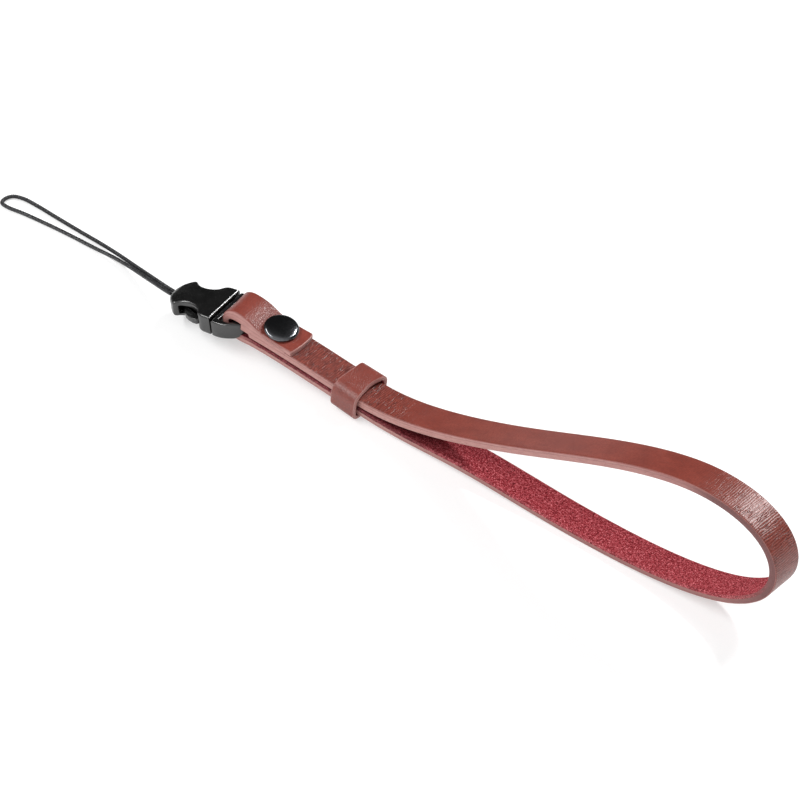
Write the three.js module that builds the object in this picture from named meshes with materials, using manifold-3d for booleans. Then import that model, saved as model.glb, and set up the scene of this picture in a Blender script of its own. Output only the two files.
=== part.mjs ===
import * as THREE from 'three';
import { mergeVertices } from 'three/addons/utils/BufferGeometryUtils.js';
import Module from 'manifold-3d';

// Leather wrist strap for a small camera, in millimetres, +Z up.
// +X runs from the cord's tip to the nose of the wrist loop, +Y across the width.
// The strap lies on its lower layer and on the keeper's foot, so the closed end
// with the buckle stands a few degrees off the surface.

const wasm = await Module();
wasm.setup();

// ---------------------------------------------------------------- driving sizes
const WIDTH = 10;                 // leather strip, across
const LAYER = 2.6;                // leather, through the thickness
const CORD_D = 1.2;               // braided cord
const SNAP_X = -34.2;             // snap's axis along the stem, from the keeper's loop side
const SNAP_HOLE = 3.8;            // hole through the layers, diameter
const CAP_AT = 7.2;               // tab's top under the cap, in the stem's z
const CAP_TILT = 4;               // degrees, the cap leans with the tab
const KEEPER = { from: -9.75, to: -0.75, half: 6.75, wall: 1.2, bottom: -1.55, top: 7.45, shoulder: 2.8 };
const KEEPER_TURN = -2.5;         // degrees, the keeper sits slightly askew
const TIP = 5.6;                  // degrees between the stem and the surface
const FOOT = [-1.0, -1.55];       // keeper's foot in the stem's own x, z
const BAR_SWING = 5;              // degrees the buckle is swung on its bar
const BAR_DROP = 13;              // degrees its cord end hangs
const BUCKLE_AT = [-53.5, -0.7, 1.0];   // where the halves meet, in the stem's frame
const ORIGIN = [37.37, -0.62, -0.04];   // centre of the footprint without the cord, and the surface

const RAD = Math.PI / 180;

// ---------------------------------------------------------------- solids
function solid(geometry) {
  const g = geometry.clone();
  g.deleteAttribute('normal');
  g.deleteAttribute('uv');
  const merged = mergeVertices(g, 1e-4);
  return new wasm.Manifold(new wasm.Mesh({
    numProp: 3,
    vertProperties: Float32Array.from(merged.attributes.position.array),
    triVerts: Uint32Array.from(merged.index.array),
  }));
}

function geometryOf(manifold) {
  const mesh = manifold.getMesh();
  const g = new THREE.BufferGeometry();
  g.setAttribute('position', new THREE.BufferAttribute(Float32Array.from(mesh.vertProperties), 3));
  g.setIndex(new THREE.BufferAttribute(Uint32Array.from(mesh.triVerts), 1));
  return g;
}

// A plan outline (x, y) pulled up in z between low and high.
function plate(points, low, high, bevel = 0) {
  const shape = new THREE.Shape(points.map(([x, y]) => new THREE.Vector2(x, y)));
  const depth = high - low - 2 * bevel;
  const g = new THREE.ExtrudeGeometry(shape, {
    depth, bevelEnabled: bevel > 0, bevelThickness: bevel, bevelSize: bevel, bevelOffset: -bevel, bevelSegments: 3,
  });
  return g.translate(0, 0, low + bevel);
}

function box(x0, x1, y0, y1, z0, z1) {
  return new THREE.BoxGeometry(x1 - x0, y1 - y0, z1 - z0)
    .translate((x0 + x1) / 2, (y0 + y1) / 2, (z0 + z1) / 2);
}

// Mirror a half outline, given as (x, half width) from one end to the other, into a closed one.
function mirrored(half) {
  const low = half.map(([x, w]) => [x, -w]);
  const high = half.filter(([, w]) => w > 0.01).reverse().map(([x, w]) => [x, w]);
  return [...low, ...high];
}

// A smooth line through a few points, as [x, y] pairs.
function smooth(points, step) {
  const curve = new THREE.CatmullRomCurve3(points.map(([x, y]) => new THREE.Vector3(x, y, 0)), false, 'centripetal');
  const n = Math.ceil(curve.getLength() / step);
  return curve.getSpacedPoints(n).map((p) => [p.x, p.y]);
}

// ---------------------------------------------------------------- groups
// The closed end ("stem") is tipped about the keeper's foot; the buckle hangs on
// its end bar, a little lower at the cord end and swung a little towards -Y.
const strapGroup = new THREE.Group();
strapGroup.position.set(-ORIGIN[0], -ORIGIN[1], -ORIGIN[2]);
const foot = new THREE.Group();
foot.position.set(FOOT[0], 0, 0);
foot.rotation.y = TIP * RAD;
const stem = new THREE.Group();
stem.position.set(-FOOT[0], 0, -FOOT[1]);
const buckle = new THREE.Group();
buckle.position.set(...BUCKLE_AT);
buckle.rotation.set(0, -BAR_DROP * RAD, BAR_SWING * RAD, 'ZYX');
strapGroup.add(foot.add(stem.add(buckle)));

const stemMatrix = new THREE.Matrix4().compose(foot.position, foot.quaternion, foot.scale)
  .multiply(new THREE.Matrix4().makeTranslation(...stem.position));

function onStem([x, z]) {
  const p = new THREE.Vector3(x, 0, z).applyMatrix4(stemMatrix);
  return [p.x, p.z];
}

// ---------------------------------------------------------------- leather strip
// Stem end, from the tab's tip round the buckle's bar and back: x, z, thickness.
const TAB_AND_FOLD = [
  [-26.0, 6.43, 1.55], [-30.0, 6.27, 1.45], [-34.2, 6.20, 1.45], [-37.4, 6.22, 1.75],
  [-39.4, 6.35, 2.3], [-41.3, 6.55, 3.0], [-43.4, 6.80, 3.4], [-45.4, 6.90, 3.4],
  [-47.4, 6.65, 3.3], [-49.1, 5.80, 2.8], [-50.1, 4.4, 2.2], [-50.1, 2.8, 2.1],
  [-49.3, 1.2, 2.1], [-47.8, 0.2, 2.2], [-45.8, -0.1, 2.3], [-43.6, 0.1, 2.4],
  [-41.0, 0.55, 2.4], [-38.0, 0.8, 2.4], [-34.2, 1.05, 2.4], [-28.0, 1.2, 2.4],
  [-20.0, 1.25, 2.5], [-10.0, 1.25, 2.5],
];
const MIDDLE_LAYER = [
  [-7.0, 4.15, 2.6], [-20.0, 4.1, 2.6], [-28.0, 4.0, 2.6], [-34.2, 3.82, 2.55], [-38.0, 3.6, 2.55], [-41.5, 3.3, 2.5],
];
// The wrist loop: distance along the leather from the keeper, bend in degrees per mm (up is positive).
const BENDS = [
  [0, 0.27], [10, 0.48], [22, 0.15], [35, -0.35], [51, -0.07], [69, 0.16], [88, 0.20], [106, 0.35],
  [120, 0.60], [134, 1.31], [143, 2.14], [151, 3.78], [159, 4.92], [165, 4.22], [173, 2.46], [182, 1.43],
  [192, 1.06], [206, 0.45], [226, 0.19], [255, -0.11], [280, -0.23], [294, -0.43], [306, -0.80], [314, -1.23],
];
const LOOP_START = [-2.0, 1.25];  // where the lower layer leaves the keeper, in the stem's x, z
const LOOP_END = [0.6, 4.45];     // where the upper layer comes back
const LOOP_SPANS = 78;
const STEPS_IN_SPAN = 8;

function bendAt(distance) {
  const i = Math.max(1, BENDS.findIndex(([d]) => d >= distance));
  const [[d0, b0], [d1, b1]] = [BENDS[i - 1], BENDS[i]];
  return b0 + (b1 - b0) * (distance - d0) / (d1 - d0);
}

// Follows the bends from the keeper round the nose and back, as rows of x, z, thickness.
function loopRows() {
  const [length] = BENDS[BENDS.length - 1];
  const steps = LOOP_SPANS * STEPS_IN_SPAN;
  const step = length / steps;
  let [x, z] = onStem(LOOP_START);
  let heading = -TIP;
  const spans = [[x, z]];
  for (let i = 1; i <= steps; i += 1) {
    const turn = bendAt((i - 0.5) * step) * step;
    const middle = (heading + turn / 2) * RAD;
    x += step * Math.cos(middle);
    z += step * Math.sin(middle);
    heading += turn;
    if (i % STEPS_IN_SPAN === 0) spans.push([x, z]);
  }
  // What is left between the line's end and the keeper is spread along it.
  const [endX, endZ] = onStem(LOOP_END);
  return spans.map(([px, pz], i) => [
    px + (endX - x) * i / LOOP_SPANS, pz + (endZ - z) * i / LOOP_SPANS, LAYER,
  ]);
}

function stripRows() {
  const placed = (rows) => rows.map(([x, z, t]) => [...onStem([x, z]), t]);
  return [...placed(TAB_AND_FOLD), ...loopRows(), ...placed(MIDDLE_LAYER)];
}

// A smooth centre line through the rows, with its direction and the thickness.
function sampled(rows) {
  const line = new THREE.CatmullRomCurve3(rows.map(([x, z]) => new THREE.Vector3(x, z, 0)), false, 'centripetal');
  const out = [];
  const parts = rows.length - 1;
  for (let i = 0; i < parts; i += 1) {
    const reach = Math.hypot(rows[i + 1][0] - rows[i][0], rows[i + 1][1] - rows[i][1]);
    const n = Math.max(1, Math.ceil(reach / 2.2));
    for (let k = 0; k < n; k += 1) {
      const u = (i + k / n) / parts;
      const p = line.getPoint(u);
      const d = line.getTangent(u);
      out.push([p.x, p.y, d.x, d.y, rows[i][2] + (rows[i + 1][2] - rows[i][2]) * k / n]);
    }
  }
  const p = line.getPoint(1);
  const d = line.getTangent(1);
  out.push([p.x, p.y, d.x, d.y, rows[parts][2]]);
  return out;
}

// A closed x-z outline carried across the width, from y0 to y1.
function band(outline, y0, y1) {
  const shape = new THREE.Shape(outline.map(([x, z]) => new THREE.Vector2(x, z)));
  const g = new THREE.ExtrudeGeometry(shape, { depth: y1 - y0, bevelEnabled: false });
  return g.rotateX(Math.PI / 2).translate(0, y1, 0);
}

// The fold sits slightly askew on the bar: its far edge stands nearer the buckle.
function skewFold(geometry) {
  const p = geometry.attributes.position;
  const [begin] = onStem([-40, 4]);
  for (let i = 0; i < p.count; i += 1) {
    const k = THREE.MathUtils.clamp((begin - p.getX(i)) / 8, 0, 1);
    p.setX(i, p.getX(i) - 0.07 * k * k * (3 - 2 * k) * (p.getY(i) + 3));
  }
}

function strapSolid() {
  const line = sampled(stripRows());
  const left = line.map(([x, z, dx, dz, t]) => [x - dz * t / 2, z + dx * t / 2]);
  const right = line.map(([x, z, dx, dz, t]) => [x + dz * t / 2, z - dx * t / 2]);
  const outline = band([...left, ...right.reverse()], -WIDTH / 2, WIDTH / 2);
  skewFold(outline);
  let strip = solid(outline);
  // The tab's tip is a flat arc with its far corner rounded off.
  const tip = new THREE.Shape([
    [-26.9, 5.4], [-26.9, 5.01], [-26.35, 4.2], [-25.9, 3.0], [-25.7, 1.2], [-25.62, -0.6], [-25.7, -2.6],
    [-25.95, -4.4], [-26.15, -5.1], [-26.15, -5.4], [-24, -5.4], [-24, 5.4],
  ].map(([x, y]) => new THREE.Vector2(x, y)));
  const cut = new THREE.ExtrudeGeometry(tip, { depth: 2.6, bevelEnabled: false })
    .translate(0, 0, 5.52).applyMatrix4(stemMatrix);
  strip = strip.subtract(solid(cut));
  // One hole through all three layers for the snap.
  const hole = new THREE.CylinderGeometry(SNAP_HOLE / 2, SNAP_HOLE / 2, 14, 32).rotateX(Math.PI / 2)
    .translate(SNAP_X, 0, 3).applyMatrix4(stemMatrix);
  return strip.subtract(solid(hole));
}

// ---------------------------------------------------------------- keeper
// A leather band: a block with rounded shoulders, and a square-cornered opening for the three layers.
function rounded(half, bottom, top, radius) {
  const shape = new THREE.Shape();
  shape.absarc(half - radius, top - radius, radius, 0, Math.PI / 2);
  shape.absarc(radius - half, top - radius, radius, Math.PI / 2, Math.PI);
  shape.absarc(radius - half, bottom + radius, radius, Math.PI, 1.5 * Math.PI);
  shape.absarc(half - radius, bottom + radius, radius, 1.5 * Math.PI, 2 * Math.PI);
  return shape;
}

function keeperSolid() {
  const { from, to, half, wall, bottom, top, shoulder } = KEEPER;
  const length = to - from;
  const along = (shape, depth) => solid(new THREE.ExtrudeGeometry(shape, { depth, bevelEnabled: false, curveSegments: 6 })
    .rotateX(Math.PI / 2).rotateZ(Math.PI / 2).translate(-depth / 2, 0, 0));
  const outer = along(rounded(half, bottom, top, shoulder), length);
  const inner = along(rounded(half - wall, bottom + wall + 0.1, top - wall - 0.2, 0.6), length + 2);
  return outer.subtract(inner);
}

// ---------------------------------------------------------------- snap
function turned(profile) {
  return new THREE.LatheGeometry(profile.map(([r, z]) => new THREE.Vector2(r, z)), 48).rotateX(Math.PI / 2);
}

function capSolid() {
  // Domed cap with a rolled rim, and the barrel that goes through the tab; z = 0 is the tab's top.
  return solid(turned([
    [0, -3.0], [1.5, -3.0], [1.5, 0.3], [4.6, 0.3], [4.9, 0.4], [5.0, 0.62], [4.9, 0.9], [4.5, 1.15],
    [3.6, 1.4], [2.4, 1.58], [1.2, 1.67], [0, 1.7],
  ]));
}

function studSolid() {
  return solid(turned([
    [0, -1.1], [2.6, -1.1], [3.2, -0.95], [3.4, -0.7], [3.4, -0.45], [1.5, -0.45], [1.5, 3.6], [0, 3.6],
  ]));
}

// ---------------------------------------------------------------- buckle, own frame
// x = 0 is the face where the halves meet, the cord leaves at x = -18.5.
const SOCKET_PLAN = [
  [0, 7.5], [-1.6, 7.5], [-3.2, 7.4], [-4.3, 6.95], [-5.0, 6.2], [-5.7, 5.35], [-6.8, 4.65], [-8.2, 4.2],
  [-9.8, 4.05], [-11.2, 4.25], [-12.4, 4.8], [-13.2, 5.45], [-13.9, 5.75], [-14.7, 5.4], [-15.8, 4.5],
  [-16.9, 3.25], [-17.8, 1.8], [-18.3, 0.7], [-18.45, 0],
];

function socketSolid() {
  let body = solid(plate(mirrored(SOCKET_PLAN), -2.9, 2.9, 0.45));
  // Side view: full height at the open face, rounded down at the cord end.
  const side = [
    [0.5, 2.9], [-9, 2.85], [-12.5, 2.65], [-15, 2.3], [-16.8, 1.9], [-18.0, 1.2], [-18.7, 0.2],
    [-18.7, -0.4], [-18.1, -1.3], [-17, -1.9], [-15, -2.25], [-12.5, -2.5], [-9, -2.75], [0.5, -2.9],
  ];
  body = body.intersect(solid(band(smooth([...side], 0.8), -8, 8)));
  // Hollow for the latch arms, then the cord's hole.
  const hollow = solid(plate(mirrored([[1, 6.35], [-4.4, 6.35], [-5.4, 8.5], [-12.6, 8.5], [-13.2, 5.0], [-13.6, 3.2], [-13.9, 0]]), -1.75, 1.75));
  body = body.subtract(hollow);
  const mouth = new THREE.CylinderGeometry(0.95, 0.95, 8, 24).rotateZ(Math.PI / 2).scale(1, 1.65, 1).translate(-16.5, 0, 0);
  return body.subtract(solid(mouth));
}

const RING_PLAN = [
  [0.3, 7.45], [1.6, 7.6], [3.2, 7.55], [4.8, 7.2], [6.2, 6.65], [7.5, 5.95], [8.7, 5.0], [9.7, 3.7],
  [10.4, 2.2], [10.7, 0.9], [10.75, 0],
];

function plugSolid() {
  // Crossbar and the two rails: a deep D-shaped plate with its middle taken out.
  const deep = solid(plate(mirrored(RING_PLAN), -2.65, 2.1, 0.5));
  const rails = deep.subtract(solid(box(2.0, 14, -5.65, 5.65, -5, 5)));
  // The bowed end bar between them is thinner and well rounded, for the leather to lie on.
  const inner = [[5.2, 5.85], [6.2, 5.0], [6.75, 3.6], [7.0, 1.8], [7.05, 0]];
  const outer = RING_PLAN.filter(([x]) => x > 4);
  const bow = [
    ...outer.map(([x, w]) => [x, -w]), ...outer.slice(0, -1).reverse().map(([x, w]) => [x, w]),
    ...inner.map(([x, w]) => [x, w]), ...inner.slice(0, -1).reverse().map(([x, w]) => [x, -w]),
  ];
  let plug = rails.add(solid(plate(bow, -1.15, 1.5, 0.6)));
  // Latch arms, with heads that fill the side openings of the other half.
  for (const side of [-1, 1]) {
    const plan = [
      [0.5, 4.3], [0.5, 5.95], [-4.3, 5.95], [-5.15, 7.0], [-6.4, 7.05], [-8.0, 6.7], [-9.4, 6.1], [-10.6, 5.1],
      [-11.2, 4.2], [-11.3, 3.5], [-10.6, 3.3], [-9.4, 3.9], [-7.5, 4.7], [-5.5, 4.7], [-3, 4.3],
    ].map(([x, y]) => [x, side * y]);
    if (side > 0) plan.reverse();
    plug = plug.add(solid(plate(plan, -1.4, 1.4, 0.15)));
  }
  return plug;
}

// ---------------------------------------------------------------- cord
// One strand out of the socket, round the tip and back in beside itself, laid on the surface.
const CORD = [
  [-71.7, -1.3, 5.45], [-74.5, -0.8, 5.0], [-78.5, 0.25, 4.15], [-84, 1.6, 3.1], [-90, 2.95, 2.1], [-97, 4.3, 1.3],
  [-105, 5.25, 0.75], [-114, 5.6, 0.62], [-123, 5.95, 0.62], [-130, 6.25, 0.62], [-135.0, 6.1, 0.62],
  [-138.0, 4.95, 0.62], [-139.0, 2.7, 0.62], [-138.5, 0.8, 0.62], [-136.2, 0.4, 0.62],
  [-131, 1.15, 0.62], [-124, 1.85, 0.62], [-115, 2.45, 0.62], [-105, 2.65, 0.75], [-97, 2.55, 1.3],
  [-90, 1.6, 2.1], [-84, 0.25, 3.1], [-78.5, -1.1, 4.15], [-74.5, -2.15, 5.0], [-71.7, -2.65, 5.45],
];

function cordGeometry() {
  const path = new THREE.CatmullRomCurve3(CORD.map(([x, y, z]) => new THREE.Vector3(x, y, z)), false, 'centripetal');
  const ring = new THREE.Shape([...Array(8).keys()].map((i) => {
    const a = (i + 0.5) * Math.PI / 4;
    return new THREE.Vector2(Math.cos(a) * CORD_D / 2, Math.sin(a) * CORD_D / 2);
  }));
  return new THREE.ExtrudeGeometry(ring, { steps: 72, bevelEnabled: false, extrudePath: path });
}

// ---------------------------------------------------------------- assembly
function put(parent, name, geometry, colour, roughness) {
  geometry.computeVertexNormals();
  const mesh = new THREE.Mesh(geometry, new THREE.MeshStandardMaterial({ color: colour, roughness, metalness: 0 }));
  mesh.name = name;
  parent.add(mesh);
  return mesh;
}

put(strapGroup, 'strap', geometryOf(strapSolid()), 0x8a4038, 0.5);
const keeper = put(stem, 'keeper', geometryOf(keeperSolid()), 0x8a4038, 0.5);
keeper.position.x = (KEEPER.from + KEEPER.to) / 2;
keeper.rotation.z = KEEPER_TURN * RAD;
const cap = put(stem, 'snap_cap', geometryOf(capSolid()), 0x151515, 0.25);
cap.position.set(SNAP_X, 0, CAP_AT);
cap.rotation.y = CAP_TILT * RAD;
put(stem, 'snap_stud', geometryOf(studSolid()), 0x202020, 0.35).position.x = SNAP_X;
put(buckle, 'buckle_socket', geometryOf(socketSolid()), 0x1a1a1a, 0.45);
put(buckle, 'buckle_plug', geometryOf(plugSolid()), 0x1a1a1a, 0.4);
put(strapGroup, 'cord_loop', geometryOf(solid(cordGeometry())), 0x101010, 0.8);

export default strapGroup;
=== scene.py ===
"""Camera wrist strap: a folded leather strip, its keeper and snap, a small buckle and a cord loop.

The script builds the strap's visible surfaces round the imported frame, piece by piece, in the order
in which the strap is put together. Sizes are in millimetres; MM turns them into Blender's metres.
"""

import bpy
import numpy as np
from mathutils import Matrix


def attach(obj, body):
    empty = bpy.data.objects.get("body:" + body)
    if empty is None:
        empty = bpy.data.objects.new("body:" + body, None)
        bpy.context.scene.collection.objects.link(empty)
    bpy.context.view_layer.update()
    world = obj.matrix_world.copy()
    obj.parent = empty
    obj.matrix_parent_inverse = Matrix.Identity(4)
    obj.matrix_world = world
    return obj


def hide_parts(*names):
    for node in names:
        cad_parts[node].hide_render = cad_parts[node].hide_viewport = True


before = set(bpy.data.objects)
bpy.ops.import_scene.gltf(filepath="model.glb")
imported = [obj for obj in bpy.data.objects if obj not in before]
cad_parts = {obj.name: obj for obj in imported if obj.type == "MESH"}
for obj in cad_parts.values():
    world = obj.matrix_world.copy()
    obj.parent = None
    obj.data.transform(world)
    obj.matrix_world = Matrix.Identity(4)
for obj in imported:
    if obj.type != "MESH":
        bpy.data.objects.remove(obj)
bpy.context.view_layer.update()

MM = 0.001


# ---------------------------------------------------------------- camera
# A long lens looks down on the strap from the buckle's near side, 41 degrees above the surface,
# so that the wrist loop opens to the right and the cord runs off to the upper left.
VIEW_AZIMUTH, VIEW_ELEVATION = np.radians(39.99), np.radians(41.08)
VIEW_DISTANCE = 2617.0
VIEW_TARGET = np.array([-34.5, 9.33, 0.04])
LENS, SENSOR = 423.4, 36.0      # focal length, and width of the picture plane
CLIP_NEAR, CLIP_FAR = 0.1, 50.0 # in metres

level = np.cos(VIEW_ELEVATION)
view_back = np.array([
    np.sin(VIEW_AZIMUTH) * level, -np.cos(VIEW_AZIMUTH) * level, np.sin(VIEW_ELEVATION),
])
camera = bpy.data.objects.new("camera", bpy.data.cameras.new("camera"))
camera.data.sensor_width = SENSOR
camera.data.lens = LENS
camera.data.clip_start, camera.data.clip_end = CLIP_NEAR, CLIP_FAR
camera.location = (VIEW_TARGET + view_back * VIEW_DISTANCE) * MM
camera.rotation_euler = (np.pi / 2 - VIEW_ELEVATION, 0.0, VIEW_AZIMUTH)
bpy.context.collection.objects.link(camera)
bpy.context.scene.camera = camera


# ---------------------------------------------------------------- cord loop
# A soft round braid of eight nylon yarns over a core, 1.2 mm thick. It leaves the buckle, turns
# back at its tip and goes in again beside itself, so that a camera's eyelet can be hitched into it.
ROW_ORIGIN = np.array([37.37, -0.62, -0.04]) # the frame's origin, as the strap is laid out
CORD_DIAMETER = 1.2
CORD_ROUTE = np.array([
    (-71.7, -1.3, 5.45), (-74.5, -0.8, 5.0), (-78.5, 0.25, 4.15), (-84.0, 1.6, 3.1),
    (-90.0, 2.95, 2.1), (-97.0, 4.3, 1.3), (-105.0, 5.25, 0.75), (-114.0, 5.6, 0.62),
    (-123.0, 5.95, 0.62), (-130.0, 6.25, 0.62), (-135.0, 6.1, 0.62), (-138.0, 4.95, 0.62),
    (-139.0, 2.7, 0.62), (-138.5, 0.8, 0.62), (-136.2, 0.4, 0.62), (-131.0, 1.15, 0.62),
    (-124.0, 1.85, 0.62), (-115.0, 2.45, 0.62), (-105.0, 2.65, 0.75), (-97.0, 2.55, 1.3),
    (-90.0, 1.6, 2.1), (-84.0, 0.25, 3.1), (-78.5, -1.1, 4.15), (-74.5, -2.15, 5.0),
    (-71.7, -2.65, 5.45),
]) - ROW_ORIGIN
YARNS = 8                       # half of them wind each way
YARN_PITCH = 4.2                # one turn of a yarn along the cord
YARN_WIDTH, YARN_DEPTH = 0.5, 0.24
YARN_WEAVE = 0.07               # how far a yarn rises and dips at its crossings
YARN_STEPS_PER_MM = 7
CORE_RADIUS = 0.43
CORE_POINTS, YARN_POINTS = 12, 6 # points round the core and round a yarn
CORE_SKIP = 3                   # the plain core keeps one section in three
YARN_SEED = 1.7                 # moves the filament pattern from one yarn to the next


def run_along(points):
    """Distance along a line of points, from the first one to each."""
    return np.concatenate([[0], np.cumsum(np.linalg.norm(np.diff(points, axis=0), axis=1))])


def smooth_line(points, step):
    """Centripetal Catmull-Rom curve through the points, cut into equal steps.

    Between points 1 and 2 of four neighbours, knots lie at the running sum of the square roots of
    the distances, and three rounds of linear blends between the knots give the place.
    """
    padded = np.vstack([2 * points[0] - points[1], points, 2 * points[-1] - points[-2]])
    gaps = np.linalg.norm(np.diff(padded, axis=0), axis=1)
    knots = np.concatenate([[0], np.cumsum(gaps ** 0.5)])
    dense = np.linspace(knots[1], knots[-2], 60 * len(points))
    first = np.clip(np.searchsorted(knots, dense, side="right") - 2, 0, len(points) - 2)
    t0, t1, t2, t3 = (knots[first + i] for i in range(4))
    p0, p1, p2, p3 = (padded[first + i] for i in range(4))

    def blend(a, b, ta, tb):
        k = ((dense - ta) / (tb - ta))[:, None]
        return a + (b - a) * k

    a1 = blend(p0, p1, t0, t1)
    a2 = blend(p1, p2, t1, t2)
    a3 = blend(p2, p3, t2, t3)
    line = blend(blend(a1, a2, t0, t2), blend(a2, a3, t1, t3), t1, t2)
    run = run_along(line)
    even = np.linspace(0, run[-1], int(np.ceil(run[-1] / step)) + 1)
    return np.stack([np.interp(even, run, line[:, axis]) for axis in range(line.shape[1])], -1)


def unit(vectors):
    """Vectors of length one, along the last axis."""
    return vectors / np.linalg.norm(vectors, axis=-1, keepdims=True)


def sections_to_faces(rings, closed):
    """Points and faces of a body from its sections along a path.

    rings[i, j] is point j of section i. Each point is joined to the next one round its section and
    to the same one in the next section. A closed path comes back to its first section; an open one
    gets a face on each end. Faces point outwards.
    """
    count, around = rings.shape[:2]
    i = np.arange(count if closed else count - 1)[:, None]
    j = np.arange(around)[None, :]
    k, after = (j + 1) % around, (i + 1) % count
    corners = [i * around + j, i * around + k, after * around + k, after * around + j]
    quads = np.stack(corners, -1).reshape(-1, 4)
    points = rings.reshape(-1, 3)
    a, b, c, d = (points[quads[:, n]] - points.mean(0) for n in range(4))
    outward = np.sum(a * (np.cross(b, c) + np.cross(c, d))) > 0
    caps = [] if closed else [np.arange(around)[::-1], np.arange(around) + (count - 1) * around]
    if not outward:
        quads, caps = quads[:, ::-1], [cap[::-1] for cap in caps]
    return points, quads, caps


def make_piece(name, shells, material, closed=False, **attributes):
    """One mesh object from shells, each given as its sections, in millimetres.

    attributes are named arrays with a value or a vector for each point of all the shells.
    """
    points, faces, start = [], [], 0
    for rings in shells:
        shell_points, quads, caps = sections_to_faces(rings, closed)
        faces += (quads + start).tolist() + [(cap + start).tolist() for cap in caps]
        points.append(shell_points)
        start += len(shell_points)
    return mesh_piece(name, np.concatenate(points), faces, material, **attributes)


def mesh_piece(name, points, faces, material, **attributes):
    """A smooth-shaded mesh object with its attributes; points in millimetres."""
    mesh = bpy.data.meshes.new(name)
    mesh.from_pydata(points * MM, [], faces)
    mesh.shade_smooth()
    for key, values in attributes.items():
        values = np.asarray(values, dtype=np.float32)
        vector = values.ndim > 1
        layer = mesh.attributes.new(key, "FLOAT_VECTOR" if vector else "FLOAT", "POINT")
        layer.data.foreach_set("vector" if vector else "value", values.ravel())
    piece = bpy.data.objects.new(name, mesh)
    bpy.context.collection.objects.link(piece)
    mesh.materials.append(material)
    return piece


def add_node(tree, kind, inputs=None, **settings):
    """A new shader node; an input is given a value, or a socket to be linked to."""
    made = tree.nodes.new(kind)
    for key, value in settings.items():
        setattr(made, key, value)
    for key, value in (inputs or {}).items():
        if isinstance(value, bpy.types.NodeSocket):
            tree.links.new(value, made.inputs[key])
        else:
            made.inputs[key].default_value = value
    return made


def linear(code):
    """Linear colour from a hexadecimal display colour."""
    display = np.array([int(code[i:i + 2], 16) for i in (0, 2, 4)]) / 255
    light = np.where(display <= 0.04045, display / 12.92, ((display + 0.055) / 1.055) ** 2.4)
    return (*light, 1.0)


def new_material(name, **surface):
    """A material with one Principled shader; surface gives its plain values."""
    material = bpy.data.materials.new(name)
    material.use_nodes = True
    tree = material.node_tree
    shader = tree.nodes["Principled BSDF"]
    for key, value in surface.items():
        shader.inputs[key.replace("_", " ")].default_value = value
    return material, tree, shader


def ramp(tree, factor, *stops):
    """Colour ramp from (place, colour code) pairs."""
    made = add_node(tree, "ShaderNodeValToRGB", {"Fac": factor})
    elements = made.color_ramp.elements
    for _ in range(len(stops) - 2):
        elements.new(0.5)
    for element, (place, code) in zip(elements, stops):
        element.position, element.color = place, linear(code)
    return made.outputs["Color"]


def attribute(tree, name, output="Fac"):
    """A piece's own named attribute."""
    return add_node(tree, "ShaderNodeAttribute", attribute_name=name).outputs[output]


def sized(tree, name, x, y, z=1.0, place=(0.0, 0.0, 0.0)):
    """The named vector attribute, in millimetres, times a number for each axis, then moved."""
    return add_node(tree, "ShaderNodeMapping", {
        "Vector": attribute(tree, name, "Vector"), "Scale": (x, y, z), "Location": place,
    }).outputs["Vector"]


def noise(tree, vector, scale=1.0, detail=3.0, roughness=0.55):
    """Fractal noise at a number of cells for each unit of the vector."""
    return add_node(tree, "ShaderNodeTexNoise", {
        "Vector": vector, "Scale": scale, "Detail": detail, "Roughness": roughness,
    }).outputs["Fac"]


def combine(tree, operation, *values):
    """One arithmetic step on one or two values."""
    return add_node(tree, "ShaderNodeMath", dict(enumerate(values)), operation=operation).outputs[0]


def times(tree, first, second):
    """Two values multiplied."""
    return combine(tree, "MULTIPLY", first, second)


def plus(tree, first, second):
    """Two values added."""
    return combine(tree, "ADD", first, second)


def bump(tree, height, depth, normal=None):
    """Bump of that depth in millimetres, over an earlier one if given."""
    inputs = {"Height": height, "Distance": depth * MM, "Strength": 1.0}
    if normal is not None:
        inputs["Normal"] = normal
    return add_node(tree, "ShaderNodeBump", inputs).outputs["Normal"]


def cord_material():
    """Black nylon yarn with the fine lines of its filaments along it."""
    material, tree, shader = new_material("black_nylon", Roughness=0.34, Specular_IOR_Level=0.5)
    filament = noise(tree, sized(tree, "yarn", 1.2, 14.0), 1.0, 2.0)
    fade = noise(tree, sized(tree, "yarn", 1.6, 0.0), 1.0, 2.0)
    # the pale grey filament streaks are partly painted glints
    tone_and_glints = plus(tree, times(tree, filament, 0.5), times(tree, fade, 0.5))
    tree.links.new(ramp(tree, tone_and_glints, (0.46, "050506"), (0.62, "3e3e42")), shader.inputs["Base Color"])
    tree.links.new(bump(tree, filament, 0.03), shader.inputs["Normal"])
    return material


cord_line = smooth_line(CORD_ROUTE, 1 / YARN_STEPS_PER_MM)
cord_run = np.linspace(0, 1, len(cord_line)) * (len(cord_line) - 1) / YARN_STEPS_PER_MM
cord_along = unit(np.gradient(cord_line, axis=0))
cord_side = unit(np.cross(cord_along, [0, 0, 1]))
cord_up = np.cross(cord_side, cord_along)


def around_cord(radius, angle):
    """Places at a distance from the cord's centre line, and their outward directions."""
    outward = cord_side * np.cos(angle)[..., None] + cord_up * np.sin(angle)[..., None]
    return cord_line + outward * np.asarray(radius)[..., None], outward


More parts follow.
